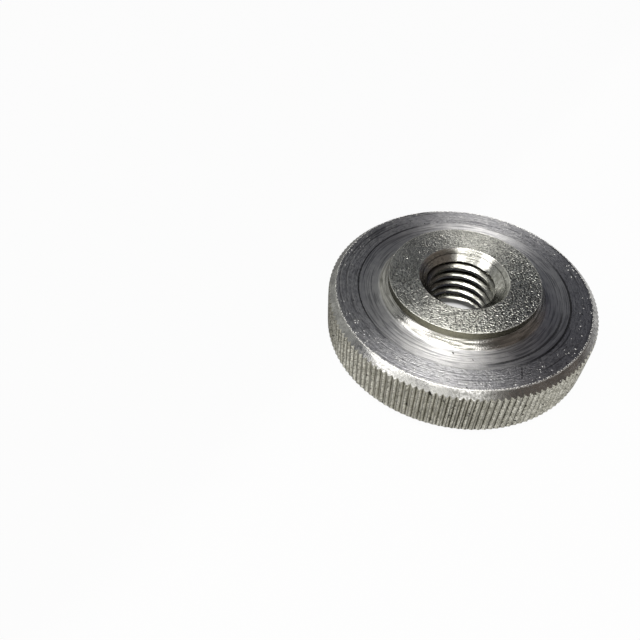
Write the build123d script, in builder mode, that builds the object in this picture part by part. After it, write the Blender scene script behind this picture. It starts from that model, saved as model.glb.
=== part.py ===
"""A knurled thumb nut, M10, turned in one piece from steel bar.

The nut is a low disc with a straight knurl round its rim and a short round boss on one face.
Its axis is Z, it lies on its plain face at Z = 0, and the boss points up. Millimetres.
"""

from build123d import *
from build123d.topology import SkipClean
from math import ceil, cos, radians, sin, tan
import os

# The head, a disc that the fingers turn
head_diameter = 36.0
head_height = 8.0
plain_side_chamfer = 1.2
boss_side_chamfer = 1.0

# The boss, with a conical shoulder round its foot
boss_diameter = 20.0
boss_height = 2.0
shoulder_width = 1.25
shoulder_height = 0.85

# A shallow dish round the foot of the shoulder, with a flat floor and a sloping edge
dish_floor_width = 1.7
dish_edge_width = 1.1
dish_depth = 0.12

# The straight knurl: V grooves rolled into the rim until they meet in sharp ridges
knurl_teeth = 140
knurl_angle = 90.0

# The thread, ISO metric coarse, cut into a hole drilled 8.5, and the countersink at each end
thread_diameter = 10.0
thread_pitch = 1.5
thread_angle = 60.0
thread_depth = 0.75
thread_start_height = 0.45
countersink_diameter = 11.9
countersink_angle = 90.0

# How far a cutter starts outside the metal that it leaves
cutter_lead = 0.15

# Worked out from the sizes above
head_radius = head_diameter / 2
boss_radius = boss_diameter / 2
shoulder_radius = boss_radius + shoulder_width
dish_floor_radius = shoulder_radius + dish_floor_width
dish_radius = dish_floor_radius + dish_edge_width
blank_radius = head_radius + cutter_lead
overall_height = head_height + boss_height

# Each groove's point lies where its two sides, which reach the ridges, come together
half_tooth = radians(180 / knurl_teeth)
half_knurl_angle = radians(knurl_angle / 2)
knurl_root_radius = head_radius * (cos(half_tooth) - sin(half_tooth) / tan(half_knurl_angle))

# ISO 68-1: the groove between two crests has a flat of 1/8 of the pitch at its bottom
thread_radius = thread_diameter / 2
crest_radius = thread_radius - thread_depth
groove_flat = thread_pitch / 8

countersink_radius = countersink_diameter / 2
countersink_depth = (countersink_radius - crest_radius) / tan(radians(countersink_angle / 2))


with BuildPart() as thread_groove:
    # One turn of the groove between two crests, from inside the bore to the major diameter
    groove_mouth = crest_radius - cutter_lead
    mouth_flare = (thread_radius - groove_mouth) * tan(radians(thread_angle / 2))
    mouth_half_width = groove_flat / 2 + mouth_flare
    with BuildLine() as one_turn:
        Helix(pitch=thread_pitch, height=thread_pitch, radius=crest_radius)
    with BuildSketch(Plane.XZ):
        with BuildLine():
            Polyline(
                (groove_mouth, -mouth_half_width),
                (thread_radius, -groove_flat / 2),
                (thread_radius, groove_flat / 2),
                (groove_mouth, mouth_half_width),
                close=True,
            )
        make_face()
    sweep(path=one_turn.line, is_frenet=True)

with BuildPart() as knurled_nut:
    # The turned blank, proud of the finished rim, whose chamfers carry on out to it
    with BuildSketch(Plane.XZ):
        with BuildLine():
            Polyline(
                (0, 0),
                (head_radius - plain_side_chamfer, 0),
                (blank_radius, plain_side_chamfer + cutter_lead),
                (blank_radius, head_height - boss_side_chamfer - cutter_lead),
                (head_radius - boss_side_chamfer, head_height),
                (dish_radius, head_height),
                (dish_floor_radius, head_height - dish_depth),
                (shoulder_radius, head_height - dish_depth),
                (boss_radius, head_height + shoulder_height),
                (boss_radius, overall_height),
                (0, overall_height),
                close=True,
            )
        make_face()
    revolve(axis=Axis.Z)

    # The knurl, one V at each tooth space, run out into both chamfers
    groove_height = blank_radius + cutter_lead - knurl_root_radius
    groove_half_width = groove_height * tan(half_knurl_angle)
    with BuildSketch():
        with PolarLocations(knurl_root_radius, knurl_teeth):
            Polygon(
                (0, 0),
                (groove_height, -groove_half_width),
                (groove_height, groove_half_width),
                align=None,
            )
    extrude(amount=head_height, mode=Mode.SUBTRACT)

    # The hole with its two countersinks, and then the thread, turn above turn, from below one
    # face to above the other. The hole is cut in two half turns, and the seams between them
    # stay (SkipClean), so that the thread's crest is one short face each half turn.
    with BuildSketch(Plane.XZ) as hole_section:
        with BuildLine():
            Polyline(
                (0, 0),
                (countersink_radius, 0),
                (crest_radius, countersink_depth),
                (crest_radius, overall_height - countersink_depth),
                (countersink_radius, overall_height),
                (0, overall_height),
                close=True,
            )
        make_face()
    turns = ceil(overall_height / thread_pitch) + 2
    starts = [thread_start_height + (turn - 1) * thread_pitch for turn in range(turns)]
    with SkipClean():
        for half_turn in (180, -180):
            revolve(hole_section.sketch, revolution_arc=half_turn, mode=Mode.SUBTRACT)
        with Locations([(0, 0, start) for start in starts]):
            add(thread_groove.part, mode=Mode.SUBTRACT)
knurled_nut.part.label = "knurled_nut"

os.makedirs("parts", exist_ok=True)
export_step(knurled_nut.part, "parts/knurled_nut.step")
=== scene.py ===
"""The finish of a knurled thumb nut, turned in one piece from steel bar.

The nut is one closed mesh: a straight-knurled rim between two chamfers, a dished face with a
conical shoulder and a round boss, a plain face, and a hole with its thread and countersinks.
Its axis is Z, and it lies on its plain face at Z = 0. Metres, except where a name says mm.
"""

from math import cos, pi, radians, sin, tan, tau

import bmesh
import bpy
from mathutils import Matrix, Vector, noise


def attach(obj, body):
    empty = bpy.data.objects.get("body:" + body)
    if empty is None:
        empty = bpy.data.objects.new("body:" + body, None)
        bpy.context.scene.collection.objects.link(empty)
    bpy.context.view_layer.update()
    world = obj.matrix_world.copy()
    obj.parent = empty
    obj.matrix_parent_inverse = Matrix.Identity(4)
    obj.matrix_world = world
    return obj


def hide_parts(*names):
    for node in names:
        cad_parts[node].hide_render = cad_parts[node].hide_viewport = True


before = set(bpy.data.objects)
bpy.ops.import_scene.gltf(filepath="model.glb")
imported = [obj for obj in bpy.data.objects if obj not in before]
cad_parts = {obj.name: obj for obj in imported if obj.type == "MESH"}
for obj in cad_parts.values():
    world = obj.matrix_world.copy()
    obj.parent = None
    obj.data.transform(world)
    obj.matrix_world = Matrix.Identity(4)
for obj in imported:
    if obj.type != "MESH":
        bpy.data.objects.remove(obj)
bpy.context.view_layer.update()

mm = 0.001

# The head and its boss
head_radius = 18.0 * mm
head_height = 8.0 * mm
plain_chamfer = 1.2 * mm
boss_chamfer = 1.0 * mm
boss_radius = 10.0 * mm
boss_top = 10.0 * mm
shoulder_radius = 11.25 * mm
shoulder_top = 8.85 * mm
dish_floor_radius = 12.95 * mm
dish_radius = 14.05 * mm
dish_floor = 7.88 * mm

# The ring of the boss face that carries the burr, and the rounding of the corners
boss_ring = 0.6 * mm
rim_corner = 0.06 * mm
face_corner = 0.05 * mm

# The knurl: its teeth are filled at the root, worn at the crest, and level out near the chamfers
knurl_teeth = 140
columns_per_tooth = 8
knurl_depth = 0.397 * mm
root_fill = 0.06
worn_height = 0.86
flank = 1.2
run_out_length = 0.7 * mm
run_out_level = 0.55
run_out_share = 0.25

# The thread and its countersinks
thread_radius = 5.0 * mm
crest_radius = 4.25 * mm
thread_pitch = 1.5 * mm
thread_start = 0.45 * mm
thread_flank = radians(30)
countersink_radius = 5.95 * mm

# How uneven the metal is, as (height, size of the swells, seed)
fine_wear = (0.012 * mm, 0.35 * mm, 0)
slow_wear = (0.02 * mm, 2.5 * mm, 7)
tooth_sway = (0.03 * mm, 1.6 * mm, 3)
burr_width = (0.03 * mm, 0.16 * mm, 0)
burr_height = (0.02 * mm, 0.2 * mm, 5)

# Steps round the axis, and rows of faces along it
rim_steps = knurl_teeth * columns_per_tooth
face_steps = 560
hole_steps = 280
knurl_rows = 16
chamfer_rows = 3
plain_rows = 4
rows_per_pitch = 16

# Strips of flat face that join zones with different steps
rim_strip = 0.2 * mm
hole_strip = 0.2 * mm

# Limits for picking out edges, points and faces
shortest_chamfer = 0.7 * mm
longest_chamfer = 3 * mm
burr_zone = 0.06 * mm
flatness = 0.02 * mm
hair = 0.001 * mm
weld = 0.0005 * mm
sharp_angle = radians(28)

# Radii of the lines in the finish, in mm
chamfer_edge_line = 17.02
flange_edge_line = 16.95
plain_edge_line = 16.75
flange_arc = 14.15
dish_step = 13.95
dish_arc = 13.15
boss_edge_line = 9.97
plain_hole_line = 6.03
countersink_lip = 5.9
countersink_line = 5.42

# Colours and ways round the axis that more than one finish uses
# Near white: pale scratches, and a painted highlight on burrs and sparks
pale_metal_and_highlight = (0.9, 0.9, 0.87)
front_left = (-0.57, -0.82, 0)

FLANGE, DISH, BOSS_FACE, KNURL, CHAMFER, THREAD, COUNTERSINK, PLAIN_FACE = range(8)


# Shape


def outline(bm, corners, edge_radius=0.0):
    """A wire through corners of (radius, height), its inner corners rounded."""
    verts = [bm.verts.new((radius, 0, height)) for radius, height in corners]
    for pair in zip(verts, verts[1:]):
        bm.edges.new(pair)
    if edge_radius:
        round_corners(bm, verts[1:-1], edge_radius)
    return verts


def round_corners(bm, corners, edge_radius):
    """Rounds the corners of a wire."""
    bmesh.ops.bevel(
        bm,
        geom=corners,
        offset=edge_radius,
        affect="VERTICES",
        segments=3,
        profile=0.5,
        material=-1,
    )


def divide(bm, shortest, longest, rows):
    """Cuts every edge whose length lies between the two into that many rows."""
    edges = [e for e in bm.edges if shortest < e.calc_length() < longest]
    bmesh.ops.subdivide_edges(bm, edges=edges, cuts=rows - 1)


def turn(bm, steps, climb=0.0):
    """Spins the wire once round Z; with a climb it ends that much higher, and stays open."""
    bmesh.ops.spin(
        bm,
        geom=bm.verts[:] + bm.edges[:],
        cent=(0, 0, 0),
        axis=(0, 0, 1),
        dvec=(0, 0, climb / steps),
        angle=tau,
        steps=steps,
        use_merge=not climb,
    )


def radius_of(vert):
    return vert.co.xy.length


def angle_of(vert):
    return -Vector((1, 0)).angle_signed(vert.co.xy) % tau


def wobble(place, unevenness):
    """Smooth noise, given as (height, size of the swells, seed)."""
    height, size, seed = unevenness
    return height * noise.noise(place / size + Vector((seed, seed, seed)))


def knurled_rim():
    """The rim between the two faces: chamfer, knurl, chamfer."""
    bm = bmesh.new()
    low_edge = head_radius - plain_chamfer
    high_edge = head_radius - boss_chamfer
    low = plain_chamfer
    high = head_height - boss_chamfer
    corners = [
        (low_edge - rim_strip, 0),
        (low_edge, 0),
        (head_radius, low),
        (head_radius, high),
        (high_edge, head_height),
        (high_edge - rim_strip, head_height),
    ]
    verts = outline(bm, corners)
    round_corners(bm, [verts[1], verts[4]], rim_corner)
    divide(bm, longest_chamfer, head_height, knurl_rows)
    divide(bm, shortest_chamfer, longest_chamfer, chamfer_rows)
    turn(bm, rim_steps)
    rim = {v for v in bm.verts if radius_of(v) > head_radius - hair}
    for face in bm.faces:
        height = face.calc_center_median().z
        if rim.issuperset(face.verts):
            face.material_index = KNURL
        elif height > head_height - flatness:
            face.material_index = FLANGE
        elif height < flatness:
            face.material_index = PLAIN_FACE
        else:
            face.material_index = CHAMFER
    for vert in rim:
        tooth = (angle_of(vert) / tau * knurl_teeth) % 1
        ridge = root_fill + worn_height * min(flank - flank * abs(2 * tooth - 1), 1)
        run_out = max(1 - min(vert.co.z - low, high - vert.co.z) / run_out_length, 0)
        ridge += (run_out_level - ridge) * run_out_share * run_out
        radius = head_radius - knurl_depth * (1 - ridge)
        radius += wobble(vert.co, fine_wear)
        radius += wobble(vert.co, slow_wear)
        drop = head_radius - radius
        share = (vert.co.z - low) / (high - low)
        height = (low - drop) * (1 - share) + (high + drop) * share
        outward = vert.co.xy.normalized()
        place = outward * radius + outward.orthogonal() * wobble(vert.co, tooth_sway)
        vert.co = (place.x, place.y, height)
    return bm


def boss_side():
    """The dished face, the shoulder, the boss's wall and its own face with a ragged edge."""
    bm = bmesh.new()
    corners = [
        (head_radius - boss_chamfer - 2 * rim_strip, head_height),
        (dish_radius, head_height),
        (dish_floor_radius, dish_floor),
        (shoulder_radius, dish_floor),
        (boss_radius, shoulder_top),
        (boss_radius, boss_top),
        (boss_radius - boss_ring, boss_top),
        (countersink_radius + hole_strip, boss_top),
    ]
    outline(bm, corners, face_corner)
    turn(bm, face_steps)
    for face in bm.faces:
        mid = face.calc_center_median()
        if mid.z > boss_top - burr_zone / 2:
            face.material_index = BOSS_FACE
        elif mid.xy.length < dish_radius - burr_zone:
            face.material_index = DISH
        else:
            face.material_index = FLANGE
    for vert in bm.verts:
        at_wall = abs(radius_of(vert) - boss_radius) < burr_zone
        if at_wall and vert.co.z > boss_top - burr_zone:
            vert.co.xy *= 1 + wobble(vert.co, burr_width) / boss_radius
            vert.co.z += wobble(vert.co, burr_height)
    return bm


def plain_side():
    """The flat face that the nut lies on."""
    bm = bmesh.new()
    outer = head_radius - plain_chamfer - 2 * rim_strip
    outline(bm, [(outer, 0), (countersink_radius + hole_strip, 0)])
    divide(bm, 0, head_radius, plain_rows)
    turn(bm, face_steps)
    for face in bm.faces:
        face.material_index = PLAIN_FACE
    return bm


def tapped_hole():
    """The hole's wall: a helical grid whose points lie on the thread or, near a face, on the cone.

    The grid climbs one pitch a turn, so it starts below the hole and ends above it, and what
    stands out at either end is pressed flat and merged away.
    """
    bm = bmesh.new()
    pitches = int(boss_top / thread_pitch) + 3
    foot = -2 * thread_pitch
    outline(bm, [(crest_radius, foot), (crest_radius, foot + pitches * thread_pitch)])
    divide(bm, 0, 1, pitches * rows_per_pitch)
    turn(bm, hole_steps, climb=thread_pitch)
    for vert in bm.verts:
        angle = angle_of(vert)
        phase = ((vert.co.z - thread_start) / thread_pitch - angle / tau) % 1
        from_groove = min(phase, 1 - phase) * thread_pitch
        radius = thread_radius - (from_groove - thread_pitch / 16) / tan(thread_flank)
        radius = min(max(radius, crest_radius), thread_radius)
        height = min(max(vert.co.z, 0), boss_top)
        radius = max(radius, countersink_radius - min(height, boss_top - height))
        vert.co = (radius * cos(angle), radius * sin(angle), height)
    bmesh.ops.remove_doubles(bm, verts=bm.verts[:], dist=weld)
    bmesh.ops.dissolve_degenerate(bm, edges=bm.edges[:], dist=weld)
    for face in bm.faces:
        mid = face.calc_center_median()
        cone = countersink_radius - min(mid.z, boss_top - mid.z)
        face.material_index = COUNTERSINK if abs(mid.xy.length - cone) < flatness else THREAD
    return bm


def strip(outer, outer_steps, inner, inner_steps, height, finish):
    """A flat ring that joins two rings of points of different counts."""
    bm = bmesh.new()
    for radius, steps in ((outer, outer_steps), (inner, inner_steps)):
        ring = bmesh.new()
        ring.verts.new((radius, 0, height))
        turn(ring, steps)
        append(bm, ring)
    bmesh.ops.bridge_loops(bm, edges=bm.edges[:])
    for face in bm.faces:
        face.material_index = finish
    return bm


def append(bm, piece):
    """Moves all of a piece into bm."""
    mesh = bpy.data.meshes.new("part")
    piece.to_mesh(mesh)
    piece.free()
    bm.from_mesh(mesh)
    bpy.data.meshes.remove(mesh)


def make_nut():
    """All the zones, joined into one closed mesh."""
    bm = bmesh.new()
    for zone in (knurled_rim, boss_side, plain_side, tapped_hole):
        append(bm, zone())
    for chamfer, height, finish in (
        (boss_chamfer, head_height, FLANGE),
        (plain_chamfer, 0, PLAIN_FACE),
    ):
        outer = head_radius - chamfer - rim_strip
        append(bm, strip(outer, rim_steps, outer - rim_strip, face_steps, height, finish))
    for height, finish in ((boss_top, BOSS_FACE), (0, PLAIN_FACE)):
        outer = countersink_radius + hole_strip
        append(bm, strip(outer, face_steps, countersink_radius, hole_steps, height, finish))
    bmesh.ops.remove_doubles(bm, verts=bm.verts[:], dist=weld)
    bmesh.ops.recalc_face_normals(bm, faces=bm.faces[:])
    for face in bm.faces:
        face.smooth = True
    mesh = bpy.data.meshes.new("turned_nut")
    bm.to_mesh(mesh)
    bm.free()
    mesh.set_sharp_from_angle(angle=sharp_angle)
    nut = bpy.data.objects.new("turned_nut", mesh)
    bpy.context.scene.collection.objects.link(nut)
    return nut


# Node helpers


def put(tree, kind, settings=(), sockets=()):
    """A shader node with its settings, and its sockets set to values or joined to outputs."""
    node = tree.nodes.new("ShaderNode" + kind)
    for name, value in dict(settings).items():
        setattr(node, name, value)
    for name, value in dict(sockets).items():
        if isinstance(value, bpy.types.NodeSocket):
            tree.links.new(value, node.inputs[name])
        else:
            node.inputs[name].default_value = value
    return node


def reckon(tree, operation, *values, clamp=False):
    """One operation on numbers or outputs."""
    settings = {"operation": operation, "use_clamp": clamp}
    return put(tree, "Math", settings, dict(enumerate(values))).outputs[0]


def vector(tree, operation, *values):
    """One operation on vectors; a length, dot product or distance comes out as a number."""
    node = put(tree, "VectorMath", {"operation": operation}, dict(enumerate(values)))
    scalar = operation in ("LENGTH", "DOT_PRODUCT", "DISTANCE")
    return node.outputs["Value" if scalar else "Vector"]


def ramp(tree, value, low, high, to_low=0.0, to_high=1.0):
    """A smooth step from to_low to to_high as value goes from low to high."""
    sockets = {"Value": value, "From Min": low, "From Max": high}
    sockets |= {"To Min": to_low, "To Max": to_high}
    node = put(tree, "MapRange", {"interpolation_type": "SMOOTHSTEP"}, sockets)
    return node.outputs["Result"]


def blend(tree, share, below, above):
    """Two colours mixed by share, each given as (red, green, blue) or as an output."""
    colours = [c if isinstance(c, bpy.types.NodeSocket) else (*c, 1) for c in (below, above)]
    node = put(tree, "Mix", {"data_type": "RGBA"}, {0: share, 6: colours[0], 7: colours[1]})
    return node.outputs[2]


def scaled(tree, value, scale):
    """A vector times a number."""
    return put(tree, "VectorMath", {"operation": "SCALE"}, {0: value, "Scale": scale}).outputs[0]


def even_noise(tree, place, scale):
    """Noise of one octave, from -0.5 to 0.5."""
    sockets = {"Vector": place, "Scale": scale, "Detail": 1.0, "Roughness": 0.5}
    return reckon(tree, "SUBTRACT", put(tree, "TexNoise", sockets=sockets).outputs["Fac"], 0.5)


def effect(name, inputs, outputs):
    """An empty node group with named inputs and outputs."""
    tree = bpy.data.node_groups.new(name, "ShaderNodeTree")
    for side, sockets in (("INPUT", inputs), ("OUTPUT", outputs)):
        for label, kind in sockets.items():
            tree.interface.new_socket(label, in_out=side, socket_type="NodeSocket" + kind)
    given = tree.nodes.new("NodeGroupInput").outputs
    result = tree.nodes.new("NodeGroupOutput").inputs
    return tree, given, result


def use(tree, group, **sockets):
    """Places a node group and gives its outputs."""
    return put(tree, "Group", {"node_tree": group}, sockets).outputs


# Effects


def make_axis_place():
    """Where a point lies round the nut's axis, in mm."""
    outputs = {"Place": "Vector", "Radius": "Float", "Height": "Float", "Around": "Vector"}
    tree, given, result = effect("place round the axis", {"Object": "Vector"}, outputs)
    place = vector(tree, "MULTIPLY", given["Object"], (1000, 1000, 1000))
    flat = vector(tree, "MULTIPLY", place, (1, 1, 0))
    height = put(tree, "SeparateXYZ", sockets={"Vector": place}).outputs["Z"]
    tree.links.new(place, result["Place"])
    tree.links.new(vector(tree, "LENGTH", flat), result["Radius"])
    tree.links.new(height, result["Height"])
    tree.links.new(vector(tree, "NORMALIZE", flat), result["Around"])
    return tree


def make_lathe_rings():
    """Fine rings left by the lathe's tool: level is a height from -0.5 to 0.5."""
    inputs = {"Radius": "Float", "Height": "Float", "Around": "Vector"}
    inputs |= {"Spacing": "Float", "Arcs": "Float"}
    tree, given, result = effect("lathe rings", inputs, {"Level": "Float"})
    leaned = reckon(tree, "MULTIPLY_ADD", given["Height"], 0.4, given["Radius"])
    across = reckon(tree, "DIVIDE", leaned, given["Spacing"])
    around = scaled(tree, given["Around"], given["Arcs"])
    parts = put(tree, "SeparateXYZ", sockets={"Vector": around}).outputs
    spot = put(tree, "CombineXYZ", sockets={"X": across, "Y": parts["X"], "Z": parts["Y"]}).outputs[0]
    tree.links.new(even_noise(tree, spot, 1.0), result["Level"])
    return tree


def make_grain():
    """A rough skin of small lumps: level is a height from -0.5 to 0.5."""
    inputs = {"Place": "Vector", "Size": "Float"}
    tree, given, result = effect("grain", inputs, {"Level": "Float"})
    scale = reckon(tree, "DIVIDE", 1.0, given["Size"])
    tree.links.new(even_noise(tree, given["Place"], scale), result["Level"])
    return tree


def make_specks():
    """Scattered dots: one in each cell of the given spacing, of which the given share shows."""
    inputs = {"Place": "Vector", "Spacing": "Float", "Share": "Float", "Size": "Float"}
    tree, given, result = effect("specks", inputs, {"Mask": "Float"})
    scale = reckon(tree, "DIVIDE", 1.0, given["Spacing"])
    cells = put(tree, "TexVoronoi", sockets={"Vector": given["Place"], "Scale": scale})
    chance = put(tree, "SeparateColor", sockets={"Color": cells.outputs["Color"]}).outputs["Red"]
    shown = reckon(tree, "LESS_THAN", chance, given["Share"])
    away = reckon(tree, "MULTIPLY", cells.outputs["Distance"], given["Spacing"])
    dot = ramp(tree, reckon(tree, "DIVIDE", away, given["Size"]), 0.5, 1.0, 1.0, 0.0)
    tree.links.new(reckon(tree, "MULTIPLY", dot, shown), result["Mask"])
    return tree


def make_edge_line():
    """A ragged line round the axis, at a radius."""
    inputs = {"Place": "Vector", "Radius": "Float", "At": "Float", "Width": "Float"}
    tree, given, result = effect("edge line", inputs, {"Mask": "Float"})
    ragged = put(tree, "TexNoise", sockets={"Vector": given["Place"], "Scale": 4.0, "Detail": 2.0})
    shift = reckon(tree, "MULTIPLY_ADD", ragged.outputs["Fac"], 0.2, -0.1)
    off = reckon(tree, "SUBTRACT", reckon(tree, "ADD", given["Radius"], shift), given["At"])
    share = reckon(tree, "DIVIDE", reckon(tree, "ABSOLUTE", off), given["Width"])
    tree.links.new(ramp(tree, share, 0.4, 1.0, 1.0, 0.0), result["Mask"])
    return tree


def make_scratch():
    """A straight mark from one point to another, in mm."""
    inputs = {"Place": "Vector", "From": "Vector", "To": "Vector", "Width": "Float"}
    tree, given, result = effect("scratch", inputs, {"Mask": "Float"})
    along = vector(tree, "SUBTRACT", given["To"], given["From"])
    out = vector(tree, "SUBTRACT", given["Place"], given["From"])
    dot = vector(tree, "DOT_PRODUCT", out, along)
    share = reckon(tree, "DIVIDE", dot, vector(tree, "DOT_PRODUCT", along, along), clamp=True)
    away = vector(tree, "DISTANCE", out, scaled(tree, along, share))
    mask = ramp(tree, reckon(tree, "DIVIDE", away, given["Width"]), 0.3, 1.0, 1.0, 0.0)
    tree.links.new(mask, result["Mask"])
    return tree


axis_place = make_axis_place()
lathe_rings = make_lathe_rings()
grain = make_grain()
specks = make_specks()
edge_line = make_edge_line()
scratch = make_scratch()


# Materials: the front is towards -Y and the right towards X. A finish that changes round the axis,
# by sector, may stand for a stain or for a reflection.


def start_steel(name, turned=0.0):
    """A metal with its place round the axis, its gloss drawn out across the tool's marks."""
    material = bpy.data.materials.new(name)
    material.use_nodes = True
    tree = material.node_tree
    shader = tree.nodes["Principled BSDF"]
    shader.inputs["Metallic"].default_value = 1
    shader.inputs["Anisotropic"].default_value = turned
    shader.inputs["Anisotropic Rotation"].default_value = 0.25
    along = put(tree, "Tangent", {"direction_type": "RADIAL", "axis": "Z"})
    tree.links.new(along.outputs["Tangent"], shader.inputs["Tangent"])
    coordinates = tree.nodes.new("ShaderNodeTexCoord")
    spot = use(tree, axis_place, Object=coordinates.outputs["Object"])
    return material, tree, shader, spot


def sector(tree, spot, way, low, high, to_low=0.0, to_high=1.0):
    """A smooth step as the place round the axis turns towards a way (x, y, 0)."""
    nearness = vector(tree, "DOT_PRODUCT", spot["Around"], way)
    return ramp(tree, nearness, low, high, to_low, to_high)


def grain_at(tree, spot, size):
    """Lumps of the given size in mm."""
    return use(tree, grain, Place=spot["Place"], Size=size)["Level"]


def rings_at(tree, spot, spacing, arcs):
    """Rings with the given spacing in mm, broken into more arcs the higher that number is."""
    return use(
        tree,
        lathe_rings,
        Radius=spot["Radius"],
        Height=spot["Height"],
        Around=spot["Around"],
        Spacing=spacing,
        Arcs=arcs,
    )["Level"]


def band(tree, spot, at, width):
    """A ragged line at a radius, in mm."""
    return use(tree, edge_line, Place=spot["Place"], Radius=spot["Radius"], At=at, Width=width)["Mask"]


def dots(tree, spot, spacing, share, size):
    """Scattered dots with the given spacing and size in mm."""
    given = {"Place": spot["Place"], "Spacing": spacing, "Share": share, "Size": size}
    return use(tree, specks, **given)["Mask"]


def marks(tree, spot, lines):
    """Scratches from point to point, as one mask."""
    mask = 0.0
    for start, end, width in lines:
        line = use(tree, scratch, Place=spot["Place"], From=start, To=end, Width=width)["Mask"]
        mask = reckon(tree, "MAXIMUM", line, mask)
    return mask


def sum_levels(tree, *levels):
    """Adds up (level, height in mm) pairs."""
    total = 0.0
    for level, height in levels:
        total = reckon(tree, "MULTIPLY_ADD", level, height, total)
    return total


def finish_steel(tree, shader, colour, roughness, level):
    """Joins a steel's colour, roughness and height in mm to its shader."""
    tree.links.new(colour, shader.inputs["Base Color"])
    tree.links.new(roughness, shader.inputs["Roughness"])
    bump = put(tree, "Bump", sockets={"Height": level, "Distance": mm})
    tree.links.new(bump.outputs["Normal"], shader.inputs["Normal"])


def flange_steel():
    material, tree, shader, spot = start_steel("faced steel", 0.8)
    long_rings = rings_at(tree, spot, 0.3, 2.0)
    short_rings = rings_at(tree, spot, 0.17, 26.0)
    film = grain_at(tree, spot, 1.3)
    dust = grain_at(tree, spot, 0.25)
    outer = ramp(tree, spot["Radius"], 14.3, 16.2)
    outer = reckon(tree, "MULTIPLY", outer, ramp(tree, film, -0.1, 0.1))
    # Sparks and the burr line are near white: a real ragged burr with a painted highlight
    sparks = reckon(tree, "MULTIPLY", dots(tree, spot, 0.34, 0.3, 0.12), outer)
    ragged = ramp(tree, dust, -0.05, 0.07, 0.1, 1.0)
    burr = reckon(tree, "MULTIPLY", band(tree, spot, flange_edge_line, 0.1), ragged)
    burr = reckon(tree, "MAXIMUM", sparks, burr)
    dark = marks(tree, spot, (((5.05, -13.5, 8), (4.65, -15.3, 8), 0.08),))
    dark = reckon(tree, "MAXIMUM", dark, dots(tree, spot, 0.7, 0.15, 0.13))
    # Painted shade: a dark arc by the dish's edge, on the right only
    right = sector(tree, spot, (0.9, -0.43, 0), 0.6, 0.85, 0.0, 0.8)
    shaded_arc = reckon(tree, "MULTIPLY", band(tree, spot, flange_arc, 0.2), right)
    dark = reckon(tree, "MAXIMUM", dark, shaded_arc)
    steel = blend(tree, ramp(tree, film, -0.2, 0.2), (0.53, 0.53, 0.55), (0.61, 0.61, 0.62))
    steel = blend(tree, ramp(tree, short_rings, 0.08, -0.18, 0.0, 0.5), steel, (0.15, 0.15, 0.16))
    steel = blend(tree, ramp(tree, long_rings, -0.08, -0.2, 0.0, 0.7), steel, (0.1, 0.1, 0.11))
    steel = blend(tree, burr, steel, pale_metal_and_highlight)
    steel = blend(tree, dark, steel, (0.06, 0.06, 0.06))
    levels = ((long_rings, 0.08), (short_rings, 0.04), (dust, 0.03), (burr, 0.05))
    roughness = reckon(tree, "MULTIPLY_ADD", burr, 0.45, 0.45)
    finish_steel(tree, shader, steel, roughness, sum_levels(tree, *levels))
    return material


def dish_steel():
    """The dish, the shoulder round the boss and the boss's wall, told apart by height."""
    material, tree, shader, spot = start_steel("dished steel", 0.87)
    long_rings = rings_at(tree, spot, 0.19, 3.0)
    turned = rings_at(tree, spot, 0.13, 3.0)
    patches = grain_at(tree, spot, 2.2)
    film = grain_at(tree, spot, 1.1)
    dust = grain_at(tree, spot, 0.22)
    dark = marks(
        tree,
        spot,
        (
            ((-2.85, -11.2, 7.9), (-2.8, -11.4, 7.9), 0.14),
            ((-0.6, -12.35, 7.9), (-0.55, -12.45, 7.9), 0.1),
            ((-9.6, -7.2, 7.9), (-8.7, -8.3, 7.9), 0.05),
            ((-11.14, -5.99, 7.9), (-10.5, -7.4, 7.9), 0.05),
        ),
    )
    # Painted shade: a dark line at the dish's step on the left, and a dark arc near its floor on the
    # right
    left = sector(tree, spot, (-0.94, 0.34, 0), 0.4, 0.8)
    step = reckon(tree, "MULTIPLY", band(tree, spot, dish_step, 0.16), left)
    right = sector(tree, spot, (0.6, -0.8, 0), 0.78, 0.93, 0.0, 0.75)
    shaded_arc = reckon(tree, "MULTIPLY", band(tree, spot, dish_arc, 0.2), right)
    dark = reckon(tree, "MAXIMUM", dark, reckon(tree, "MAXIMUM", step, shaded_arc))
    shoulder = ramp(tree, spot["Height"], 7.95, 8.1)
    wall = ramp(tree, spot["Height"], 8.8, 8.95)
    steel = blend(tree, ramp(tree, film, -0.2, 0.2), (0.66, 0.66, 0.67), (0.76, 0.76, 0.76))
    steel = blend(tree, ramp(tree, long_rings, 0.04, -0.18, 0.0, 0.6), steel, (0.16, 0.16, 0.18))
    shade = reckon(tree, "MULTIPLY_ADD", ramp(tree, patches, 0.06, -0.06), 0.3, 0.4)
    # Painted reflection: at the front the shoulder is darker and browner, and its turned lines
    # stronger
    front = sector(tree, spot, (-0.27, -0.96, 0), 0.95, 0.99, 0.0, 0.5)
    shade = reckon(tree, "ADD", shade, front)
    steel = blend(tree, reckon(tree, "MULTIPLY", shoulder, front), steel, (0.16, 0.155, 0.135))
    lines = reckon(tree, "MULTIPLY", ramp(tree, turned, 0.06, -0.08), shade)
    steel = blend(tree, reckon(tree, "MULTIPLY", shoulder, 0.45), steel, (0.5, 0.49, 0.44))
    steel = blend(tree, reckon(tree, "MULTIPLY", lines, shoulder), steel, (0.1, 0.1, 0.085))
    # Painted shade: the boss's wall is dark
    steel = blend(tree, wall, steel, (0.17, 0.165, 0.125))
    steel = blend(tree, dark, steel, (0.08, 0.08, 0.08))
    levels = ((long_rings, 0.035), (dust, 0.015), (turned, 0.01))
    roughness = reckon(tree, "MULTIPLY_ADD", shoulder, -0.22, 0.46)
    finish_steel(tree, shader, steel, roughness, sum_levels(tree, *levels))
    return material


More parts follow.
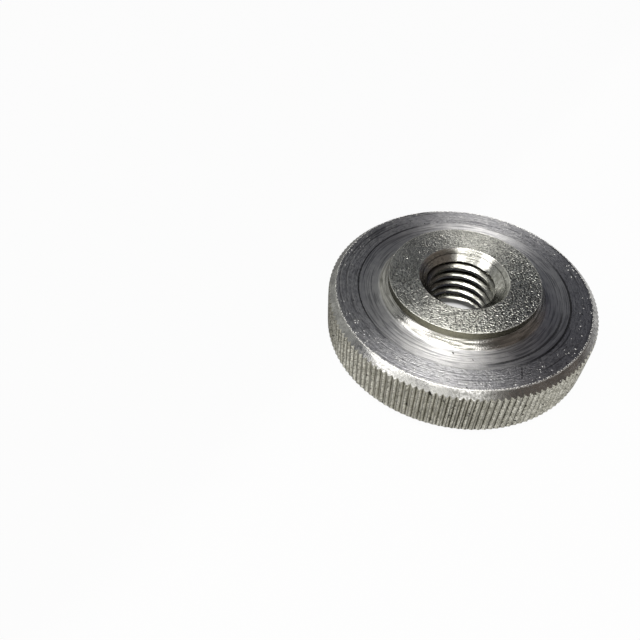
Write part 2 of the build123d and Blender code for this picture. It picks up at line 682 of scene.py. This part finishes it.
def boss_face_steel():
    material, tree, shader, spot = start_steel("grained steel", 0.85)
    rows = rings_at(tree, spot, 0.22, 16.0)
    lumps = grain_at(tree, spot, 0.2)
    coarse = grain_at(tree, spot, 0.27)
    right = sector(tree, spot, (0.77, -0.64, 0), -0.4, 0.7)
    coarse = reckon(tree, "MULTIPLY", coarse, right)
    skin = sum_levels(tree, (lumps, 0.45), (rows, 0.45), (coarse, 0.7))
    glints = reckon(tree, "MULTIPLY", dots(tree, spot, 0.36, 0.2, 0.12), 0.7)
    film = grain_at(tree, spot, 1.6)
    burr = band(tree, spot, boss_edge_line, 0.1)
    scores = marks(
        tree,
        spot,
        (
            ((-4.2, -6.9, 10), (-0.6, -6.25, 10), 0.06),
            ((-3.4, -7.0, 10), (-1.0, -6.6, 10), 0.05),
            ((-8.6, -3.4, 10), (-6.9, -5.9, 10), 0.05),
        ),
    )
    steel = blend(tree, ramp(tree, film, -0.12, 0.12), (0.72, 0.72, 0.66), (0.84, 0.84, 0.78))
    behind = sector(tree, spot, (-0.34, 0.94, 0), 0.2, 0.9, 0.86, 0.5)
    pepper = reckon(tree, "MULTIPLY", ramp(tree, skin, -0.12, 0.07, 1.0, 0.0), behind)
    steel = blend(tree, pepper, steel, (0.11, 0.11, 0.1))
    # The burr ring and the glints are near white: a real burr with painted highlights
    steel = blend(tree, reckon(tree, "MAXIMUM", burr, glints), steel, (0.9, 0.9, 0.85))
    steel = blend(tree, scores, steel, (0.1, 0.1, 0.09))
    levels = ((skin, 0.19), (glints, 0.04), (scores, -0.03))
    roughness = reckon(tree, "MULTIPLY_ADD", burr, 0.2, 0.38)
    finish_steel(tree, shader, steel, roughness, sum_levels(tree, *levels))
    return material


def knurl_steel():
    """Dark lines at the roots and fainter ones at the crests, alike at the front left, all painted
    shade; and pits.
    """
    material, tree, shader, spot = start_steel("knurled steel")
    skin = grain_at(tree, spot, 0.16)
    patches = grain_at(tree, spot, 1.0)
    column = scaled(tree, spot["Around"], head_radius / mm)  # the pits lie on one radius
    level = put(tree, "CombineXYZ", sockets={"Z": spot["Height"]}).outputs[0]
    rolled = {"Place": vector(tree, "ADD", column, level)}
    big_pits = marks(
        tree,
        rolled,
        (
            ((-6.19, -16.9, 6.95), (-6.19, -16.9, 6.8), 0.28),
            ((-8.52, -15.86, 3.3), (-8.47, -15.88, 3.1), 0.24),
            ((-6.95, -16.6, 2.85), (-6.84, -16.65, 2.8), 0.2),
            ((-3.56, -17.64, 3.78), (-3.52, -17.65, 3.7), 0.22),
            ((-4.56, -17.41, 6.3), (-4.52, -17.42, 6.2), 0.18),
            ((6.12, -16.92, 2.82), (6.12, -16.92, 2.75), 0.2),
            ((8.11, -16.07, 3.94), (8.14, -16.05, 3.9), 0.2),
        ),
    )
    pits = reckon(tree, "MAXIMUM", dots(tree, rolled, 0.7, 0.14, 0.19), big_pits)
    way = put(tree, "SeparateXYZ", sockets={"Vector": spot["Around"]}).outputs
    angle = reckon(tree, "ARCTAN2", way["Y"], way["X"])
    ragged = reckon(tree, "MULTIPLY", skin, 0.25)
    teeth = reckon(tree, "MULTIPLY_ADD", angle, knurl_teeth / tau, ragged)
    tooth = reckon(tree, "PINGPONG", teeth, 0.5)
    # Painted shade: dark lines at the roots and crests of the teeth, which change round the axis and
    # fade towards the top
    root = ramp(tree, tooth, 0.04, 0.16, 0.92, 0.0)
    split = sector(tree, spot, front_left, 0.72, 0.9, 0.4, 1.0)
    crest_shade = reckon(tree, "MULTIPLY", ramp(tree, tooth, 0.35, 0.44, 0.0, 0.92), split)
    line = reckon(tree, "MAXIMUM", root, crest_shade)
    line = reckon(tree, "MULTIPLY", line, ramp(tree, spot["Height"], 7.25, 6.7))
    line = reckon(tree, "MULTIPLY", line, sector(tree, spot, front_left, 0.88, 0.97, 1.0, 0.66))
    steel = blend(tree, ramp(tree, patches, -0.12, 0.12), (0.66, 0.65, 0.57), (0.86, 0.85, 0.765))
    steel = blend(tree, ramp(tree, skin, -0.14, 0.08, 0.7, 0.0), steel, (0.11, 0.105, 0.08))
    steel = blend(tree, line, steel, (0.06, 0.057, 0.042))
    steel = blend(tree, pits, steel, (0.04, 0.038, 0.03))
    roughness = ramp(tree, patches, -0.15, 0.15, 0.46, 0.34)
    levels = ((skin, 0.07), (pits, -0.06))
    finish_steel(tree, shader, steel, roughness, sum_levels(tree, *levels))
    return material


def chamfer_steel():
    material, tree, shader, spot = start_steel("chamfered steel", 0.6)
    fine_rings = rings_at(tree, spot, 0.22, 5.0)
    mottle = grain_at(tree, spot, 0.3)
    film = grain_at(tree, spot, 1.8)
    burr = band(tree, spot, chamfer_edge_line, 0.07)
    burr = reckon(tree, "MAXIMUM", burr, dots(tree, spot, 0.5, 0.07, 0.1))
    low = ramp(tree, spot["Height"], 1.3, 1.5, 1.0, 0.0)
    rust = reckon(tree, "MULTIPLY", dots(tree, spot, 0.9, 0.22, 0.26), low)
    steel = blend(tree, ramp(tree, film, -0.12, 0.12), (0.48, 0.48, 0.48), (0.66, 0.66, 0.65))
    steel = blend(tree, ramp(tree, mottle, -0.14, 0.04, 0.4, 0.0), steel, (0.24, 0.24, 0.22))
    # Darker at the front, most where the mottle is low
    front = sector(tree, spot, (0.03, -1, 0), 0.93, 0.98)
    front_darkening = reckon(tree, "MULTIPLY", front, ramp(tree, mottle, -0.1, 0.1, 0.7, 0.15))
    steel = blend(tree, front_darkening, steel, (0.2, 0.2, 0.19))
    # The burr line and dots are near white: a real burr with a painted highlight
    steel = blend(tree, burr, steel, pale_metal_and_highlight)
    steel = blend(tree, rust, steel, (0.2, 0.1, 0.04))
    levels = ((fine_rings, 0.02), (mottle, 0.01), (burr, 0.02))
    clean = ramp(tree, mottle, -0.15, 0.15, 0.34, 0.2)
    roughness = reckon(tree, "MULTIPLY_ADD", rust, 0.4, clean)
    finish_steel(tree, shader, steel, roughness, sum_levels(tree, *levels))
    return material


def thread_steel():
    material, tree, shader, spot = start_steel("tapped steel")
    skin = grain_at(tree, spot, 0.25)
    squashed = {"Place": vector(tree, "MULTIPLY", spot["Place"], (1, 1, 5))}
    tears = grain_at(tree, squashed, 0.9)
    # Painted shade: the thread is dark towards its roots
    root = ramp(tree, spot["Radius"], 4.5, 4.85)
    steel = blend(tree, ramp(tree, tears, -0.12, 0.12), (0.26, 0.26, 0.235), (0.42, 0.42, 0.385))
    steel = blend(tree, root, steel, (0.05, 0.048, 0.038))
    roughness = ramp(tree, tears, -0.15, 0.15, 0.25, 0.18)
    finish_steel(tree, shader, steel, roughness, sum_levels(tree, (skin, 0.004), (tears, 0.01)))
    return material


def countersink_steel():
    material, tree, shader, spot = start_steel("countersunk steel", 0.6)
    chatter = rings_at(tree, spot, 0.3, 1.5)
    mottle = grain_at(tree, spot, 0.5)
    line = band(tree, spot, countersink_line, 0.05)
    lip = band(tree, spot, countersink_lip, 0.09)
    steel = blend(tree, ramp(tree, mottle, -0.12, 0.12), (0.46, 0.46, 0.43), (0.64, 0.64, 0.61))
    steel = blend(tree, ramp(tree, chatter, -0.05, -0.16, 0.0, 0.6), steel, (0.15, 0.15, 0.13))
    steel = blend(tree, line, steel, (0.1, 0.1, 0.09))
    steel = blend(tree, lip, steel, (0.8, 0.8, 0.76))
    roughness = ramp(tree, mottle, -0.15, 0.15, 0.26, 0.15)
    levels = ((chatter, 0.02), (mottle, 0.012))
    finish_steel(tree, shader, steel, roughness, sum_levels(tree, *levels))
    return material


def plain_face_steel():
    material, tree, shader, spot = start_steel("plain faced steel", 0.8)
    deep_rings = rings_at(tree, spot, 0.4, 1.0)
    long_rings = rings_at(tree, spot, 0.25, 2.0)
    film = grain_at(tree, spot, 1.5)
    dust = grain_at(tree, spot, 0.25)
    pale = marks(
        tree,
        spot,
        (
            ((-7.4, 1.2, 0), (-9.1, -0.8, 0), 0.07),
            ((-7.9, 2.4, 0), (-10.6, 0.3, 0), 0.06),
        ),
    )
    inner_burr = band(tree, spot, plain_hole_line, 0.08)
    burr = reckon(tree, "MAXIMUM", inner_burr, band(tree, spot, plain_edge_line, 0.08))
    steel = blend(tree, ramp(tree, film, -0.2, 0.2), (0.52, 0.52, 0.56), (0.61, 0.61, 0.63))
    steel = blend(tree, ramp(tree, deep_rings, -0.06, -0.18, 0.0, 0.8), steel, (0.12, 0.12, 0.12))
    steel = blend(tree, ramp(tree, long_rings, 0.1, -0.16, 0.0, 0.7), steel, (0.18, 0.18, 0.2))
    # The burr lines are near white, a real burr with a painted highlight; the pale scratches are real
    steel = blend(tree, reckon(tree, "MAXIMUM", pale, burr), steel, pale_metal_and_highlight)
    steel = blend(tree, dots(tree, spot, 0.9, 0.1, 0.16), steel, (0.07, 0.06, 0.05))
    levels = ((deep_rings, 0.1), (long_rings, 0.07), (dust, 0.03), (pale, -0.03))
    roughness = reckon(tree, "MULTIPLY_ADD", pale, 0.2, 0.45)
    finish_steel(tree, shader, steel, roughness, sum_levels(tree, *levels))
    return material


nut = make_nut()
for finish in (
    flange_steel,
    dish_steel,
    boss_face_steel,
    knurl_steel,
    chamfer_steel,
    thread_steel,
    countersink_steel,
    plain_face_steel,
):
    nut.data.materials.append(finish())
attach(nut, "root")
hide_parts("knurled_nut")


# Camera

camera_data = bpy.data.cameras.new("camera")
camera_data.lens = 33.65
camera_data.sensor_width = 36
camera_data.clip_start = 0.001
camera = bpy.data.objects.new("camera", camera_data)
camera_spot = Vector((-19.0666, -58.1325, 63.9182)) * mm
camera_pitch = -0.8210
camera_roll = 0.0063
camera.matrix_world = (
    Matrix.Translation(camera_spot)
    @ Matrix.Rotation(pi / 2 + camera_pitch, 4, "X")
    @ Matrix.Rotation(camera_roll, 4, "Z")
)
bpy.context.scene.collection.objects.link(camera)
bpy.context.scene.camera = camera


# Floor, white to the camera and in the metal, with the nut's shadow on it

floor_gap = 0.03 * mm
floor_reach = 1.5
floor_opening = 16.6 * mm
# Where the painted shade at the left and behind begins and is full
darker_from = 6 * mm
darker_to = 16 * mm


def white_floor():
    """White to the camera and dimmer in the metal, most of all at the left and behind, which is
    painted shade.

    It is clear from below, and under the nut to all but the camera, so light comes up the hole.
    Under the hole it carries a painted pool of light.
    """
    material = bpy.data.materials.new("white floor")
    material.use_nodes = True
    tree = material.node_tree
    tree.nodes.clear()
    path = tree.nodes.new("ShaderNodeLightPath").outputs
    camera_ray = path["Is Camera Ray"]
    place = tree.nodes.new("ShaderNodeTexCoord").outputs["Object"]
    behind_left = vector(tree, "DOT_PRODUCT", place, (-0.8, 0.6, 0))
    # Painted shade: the metal mirrors less of the floor's white at the left and behind
    mirror_share = ramp(tree, behind_left, darker_from, darker_to, 0.3, 0.02)
    mirrored = reckon(tree, "MULTIPLY", path["Is Glossy Ray"], mirror_share)
    shown = reckon(tree, "MULTIPLY_ADD", camera_ray, 0.965, mirrored)
    away = vector(tree, "LENGTH", place)
    open_floor = ramp(tree, away, 7 * mm, 17 * mm)
    # A painted pool of light on the floor under the hole
    light_pool_under_hole = ramp(tree, away, 5.4 * mm, 4.8 * mm, 0.0, 0.6)
    share = reckon(tree, "MULTIPLY", shown, reckon(tree, "ADD", open_floor, light_pool_under_hole))
    # Painted shade: the floor's own grey is darker at the left and behind
    shade_behind_left = ramp(tree, behind_left, darker_from, darker_to)
    grey = blend(tree, shade_behind_left, (0.45, 0.45, 0.45), (0.2, 0.2, 0.2))
    plain = put(tree, "BsdfDiffuse", sockets={"Color": grey})
    white = put(tree, "Emission", sockets={"Color": (1, 1, 1, 1), "Strength": 1.0})
    top = put(tree, "MixShader", sockets={0: share, 1: plain.outputs[0], 2: white.outputs[0]})
    below = tree.nodes.new("ShaderNodeNewGeometry").outputs["Backfacing"]
    under_nut = reckon(tree, "LESS_THAN", away, floor_opening)
    unseen = reckon(tree, "MULTIPLY", under_nut, reckon(tree, "SUBTRACT", 1.0, camera_ray))
    clear = put(tree, "BsdfTransparent")
    open_below = reckon(tree, "MAXIMUM", below, unseen)
    mixed = put(tree, "MixShader", sockets={0: open_below, 1: top.outputs[0], 2: clear.outputs[0]})
    out = tree.nodes.new("ShaderNodeOutputMaterial")
    tree.links.new(mixed.outputs[0], out.inputs["Surface"])
    return material


def make_floor():
    """A wide sheet just under the nut."""
    bm = bmesh.new()
    bmesh.ops.create_grid(bm, x_segments=1, y_segments=1, size=floor_reach)
    bmesh.ops.translate(bm, verts=bm.verts, vec=(0, 0, -floor_gap))
    mesh = bpy.data.meshes.new("floor")
    bm.to_mesh(mesh)
    bm.free()
    mesh.materials.append(white_floor())
    floor = bpy.data.objects.new("floor", mesh)
    bpy.context.scene.collection.objects.link(floor)
    return floor


floor = make_floor()


# Light: soft boxes overhead, towards the camera and to either side, in a dim room with soft patches.
# One patch is bright and lies under the floor: it lights the thread through the hole.

lamp_colour = (1, 0.98, 0.945)
room_colour = (0.043, 0.046, 0.065)


def soft_box(name, middle, size, turned, radiance):
    """A rectangle of light (width, length) that faces down, turned by so many degrees."""
    data = bpy.data.lights.new(name, "AREA")
    data.shape = "RECTANGLE"
    data.size, data.size_y = size
    data.energy = radiance * pi * size[0] * size[1]
    data.color = lamp_colour
    box = bpy.data.objects.new(name, data)
    box.location = middle
    box.rotation_euler = (0, 0, radians(turned))
    bpy.context.scene.collection.objects.link(box)


soft_box("top box", (-0.07, -0.11, 0.40), (0.13, 0.12), 0, 24.0)
soft_box("right box", (0.10, -0.09, 0.40), (0.12, 0.12), 0, 5.5)
soft_box("front box", (0.05, -0.36, 0.40), (0.16, 0.38), 7, 2.4)
soft_box("left box", (-0.38, -0.14, 0.40), (0.24, 0.48), -49, 3.2)


def toward(azimuth, elevation):
    """The unit vector at an azimuth from X and an elevation, in degrees."""
    a, e = radians(azimuth), radians(elevation)
    return (cos(e) * cos(a), cos(e) * sin(a), sin(e))


def glow(tree, direction, room, azimuth, elevation, inner, outer, colour):
    """Mixes a soft patch of colour into the room round one direction."""
    facing = vector(tree, "DOT_PRODUCT", direction, toward(azimuth, elevation))
    share = ramp(tree, facing, cos(radians(outer)), cos(radians(inner)))
    return blend(tree, share, room, colour)


def light_room(glows):
    """A dim room, white to the camera, with patches of light.

    Each is given as azimuth, elevation, inner and outer angle in degrees, and colour.
    """
    world = bpy.data.worlds.new("room")
    bpy.context.scene.world = world
    world.use_nodes = True
    tree = world.node_tree
    direction = tree.nodes.new("ShaderNodeTexCoord").outputs["Generated"]
    room = room_colour
    for azimuth, elevation, inner, outer, colour in glows:
        room = glow(tree, direction, room, azimuth, elevation, inner, outer, colour)
    seen = tree.nodes.new("ShaderNodeLightPath").outputs["Is Camera Ray"]
    room = blend(tree, seen, room, (1, 1, 1))
    tree.links.new(room, tree.nodes["Background"].inputs["Color"])


light_room(
    (
        (330, 20, 10, 70, (0.13, 0.11, 0.095)),
        (135, 5, 15, 65, (0.46, 0.46, 0.43)),
        (250, 35, 10, 50, (0.75, 0.74, 0.70)),
        (70, -60, 15, 60, (0.22, 0.22, 0.23)),
        (265, -75, 6, 18, (8.0, 8.0, 8.0)),
    )
)

bpy.context.scene.view_settings.view_transform = "Standard"
